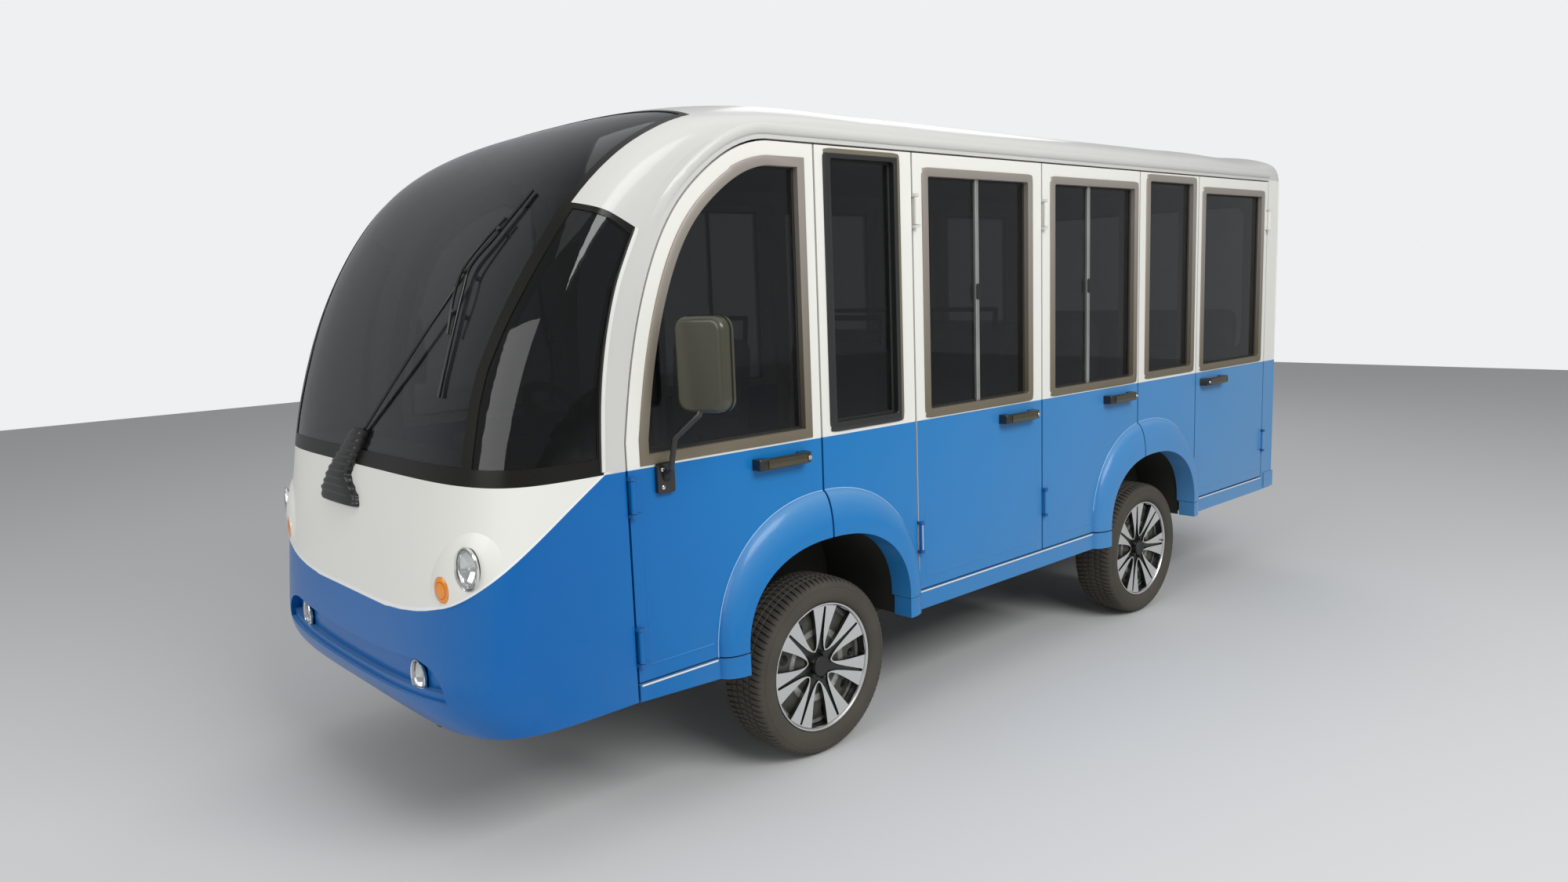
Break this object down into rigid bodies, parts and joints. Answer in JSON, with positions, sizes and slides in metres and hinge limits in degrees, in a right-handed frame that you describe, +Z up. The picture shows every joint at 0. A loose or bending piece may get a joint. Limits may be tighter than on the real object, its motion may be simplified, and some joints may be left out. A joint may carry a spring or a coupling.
{
  "type": "electric shuttle bus",
  "caption": "Closed electric shuttle bus with a rounded glass nose, side doors for each seat row and alloy wheels.",
  "frame": {"origin": "middle of the vehicle's length and width, on the ground under the tyres", "axes": "+X to the vehicle's left, -Y towards its nose, +Z up"},
  "size_m": [1.9648, 4.5367, 2.096],
  "materials": {
    "body_paint": "gloss",
    "roof_paint": "gloss",
    "glass": "tinted",
    "black_plastic": "matte",
    "frame_steel": "matt black",
    "cast_iron": "painted black",
    "floor_rubber": "matt",
    "seat_cover": "woven",
    "alloy": "machined",
    "tyre": "matt",
    "lamp_clear": "clear over reflector",
    "lamp_amber": "gloss",
    "lamp_red": "gloss"
  },
  "bodies": {
    "body": {"battery_pack": "black_plastic", "chassis_frame": "frame_steel", "dashboard": "black_plastic", "drive_motor": "cast_iron", "fixed_glass": "glass", "fixed_panels": "body_paint", "floor": "floor_rubber", "fog_lamps": "lamp_clear", "front_axle": "cast_iron", "headlamps": "lamp_clear", "nose_panel": "body_paint", "quarter_glass": "glass", "rear_axle": "cast_iron", "rear_bumper": "body_paint", "rear_glass": "glass", "rear_panel": "body_paint", "roof_shell": "roof_paint", "screen_surround": "black_plastic", "seat_frames": "frame_steel", "seat_pads": "seat_cover", "side_frames": "frame_steel", "sills": "body_paint", "steering_wheel": "black_plastic", "tail_lamps": "lamp_red", "turn_lamps": "lamp_amber", "wheel_liners": "black_plastic", "windscreen": "glass", "wiper": "black_plastic"},
    "door1_left_body": {"door1_left": "body_paint", "door1_glass_left": "glass", "mirror_left": "black_plastic"},
    "door2_left_body": {"door2_left": "body_paint", "door2_glass_left": "glass"},
    "door3_left_body": {"door3_left": "body_paint", "door3_glass_left": "glass"},
    "door4_left_body": {"door4_left": "body_paint", "door4_glass_left": "glass"},
    "knuckle_left_body": {"knuckle_left": "cast_iron"},
    "wheel_front_left": {"tyre_front_left": "tyre", "rim_front_left": "alloy"},
    "wheel_rear_left": {"tyre_rear_left": "tyre", "rim_rear_left": "alloy"},
    "door1_right_body": {"door1_right": "body_paint", "door1_glass_right": "glass", "mirror_right": "black_plastic"},
    "door2_right_body": {"door2_right": "body_paint", "door2_glass_right": "glass"},
    "door3_right_body": {"door3_right": "body_paint", "door3_glass_right": "glass"},
    "door4_right_body": {"door4_right": "body_paint", "door4_glass_right": "glass"},
    "knuckle_right_body": {"knuckle_right": "cast_iron"},
    "wheel_front_right": {"tyre_front_right": "tyre", "rim_front_right": "alloy"},
    "wheel_rear_right": {"tyre_rear_right": "tyre", "rim_rear_right": "alloy"}
  },
  "joints": [
    {"name": "door1_left_hinge", "type": "hinge", "parent": "body", "child": "door1_left_body", "pos_m": [0.787, -1.772, 1], "axis": [0, 0, -1], "range_deg": [0, 75]},
    {"name": "door2_left_hinge", "type": "hinge", "parent": "body", "child": "door2_left_body", "pos_m": [0.787, -0.589, 1], "axis": [0, 0, -1], "range_deg": [0, 75]},
    {"name": "door3_left_hinge", "type": "hinge", "parent": "body", "child": "door3_left_body", "pos_m": [0.787, 0.157, 1], "axis": [0, 0, -1], "range_deg": [0, 75]},
    {"name": "door4_left_hinge", "type": "hinge", "parent": "body", "child": "door4_left_body", "pos_m": [0.787, 2.101, 1], "axis": [0, 0, 1], "range_deg": [0, 75]},
    {"name": "door1_right_hinge", "type": "hinge", "parent": "body", "child": "door1_right_body", "pos_m": [-0.787, -1.772, 1], "axis": [0, 0, 1], "range_deg": [0, 75]},
    {"name": "door2_right_hinge", "type": "hinge", "parent": "body", "child": "door2_right_body", "pos_m": [-0.787, -0.589, 1], "axis": [0, 0, 1], "range_deg": [0, 75]},
    {"name": "door3_right_hinge", "type": "hinge", "parent": "body", "child": "door3_right_body", "pos_m": [-0.787, 0.157, 1], "axis": [0, 0, 1], "range_deg": [0, 75]},
    {"name": "door4_right_hinge", "type": "hinge", "parent": "body", "child": "door4_right_body", "pos_m": [-0.787, 2.101, 1], "axis": [0, 0, -1], "range_deg": [0, 75]},
    {"name": "steer_left", "type": "hinge", "parent": "body", "child": "knuckle_left_body", "pos_m": [0.57, -1.048, 0.292], "axis": [0, 0, 1], "range_deg": [-30, 30]},
    {"name": "steer_right", "type": "hinge", "parent": "body", "child": "knuckle_right_body", "pos_m": [-0.57, -1.048, 0.292], "axis": [0, 0, 1], "range_deg": [-30, 30]},
    {"name": "spin_front_left", "type": "hinge", "parent": "knuckle_left_body", "child": "wheel_front_left", "pos_m": [0.672, -1.048, 0.292], "axis": [1, 0, 0], "continuous": true},
    {"name": "spin_rear_left", "type": "hinge", "parent": "body", "child": "wheel_rear_left", "pos_m": [0.672, 0.96, 0.292], "axis": [1, 0, 0], "continuous": true},
    {"name": "spin_front_right", "type": "hinge", "parent": "knuckle_right_body", "child": "wheel_front_right", "pos_m": [-0.672, -1.048, 0.292], "axis": [1, 0, 0], "continuous": true},
    {"name": "spin_rear_right", "type": "hinge", "parent": "body", "child": "wheel_rear_right", "pos_m": [-0.672, 0.96, 0.292], "axis": [1, 0, 0], "continuous": true}
  ],
  "couplings": [
    {"joint": "steer_right", "follows": "steer_left", "ratio": 1}
  ]
}
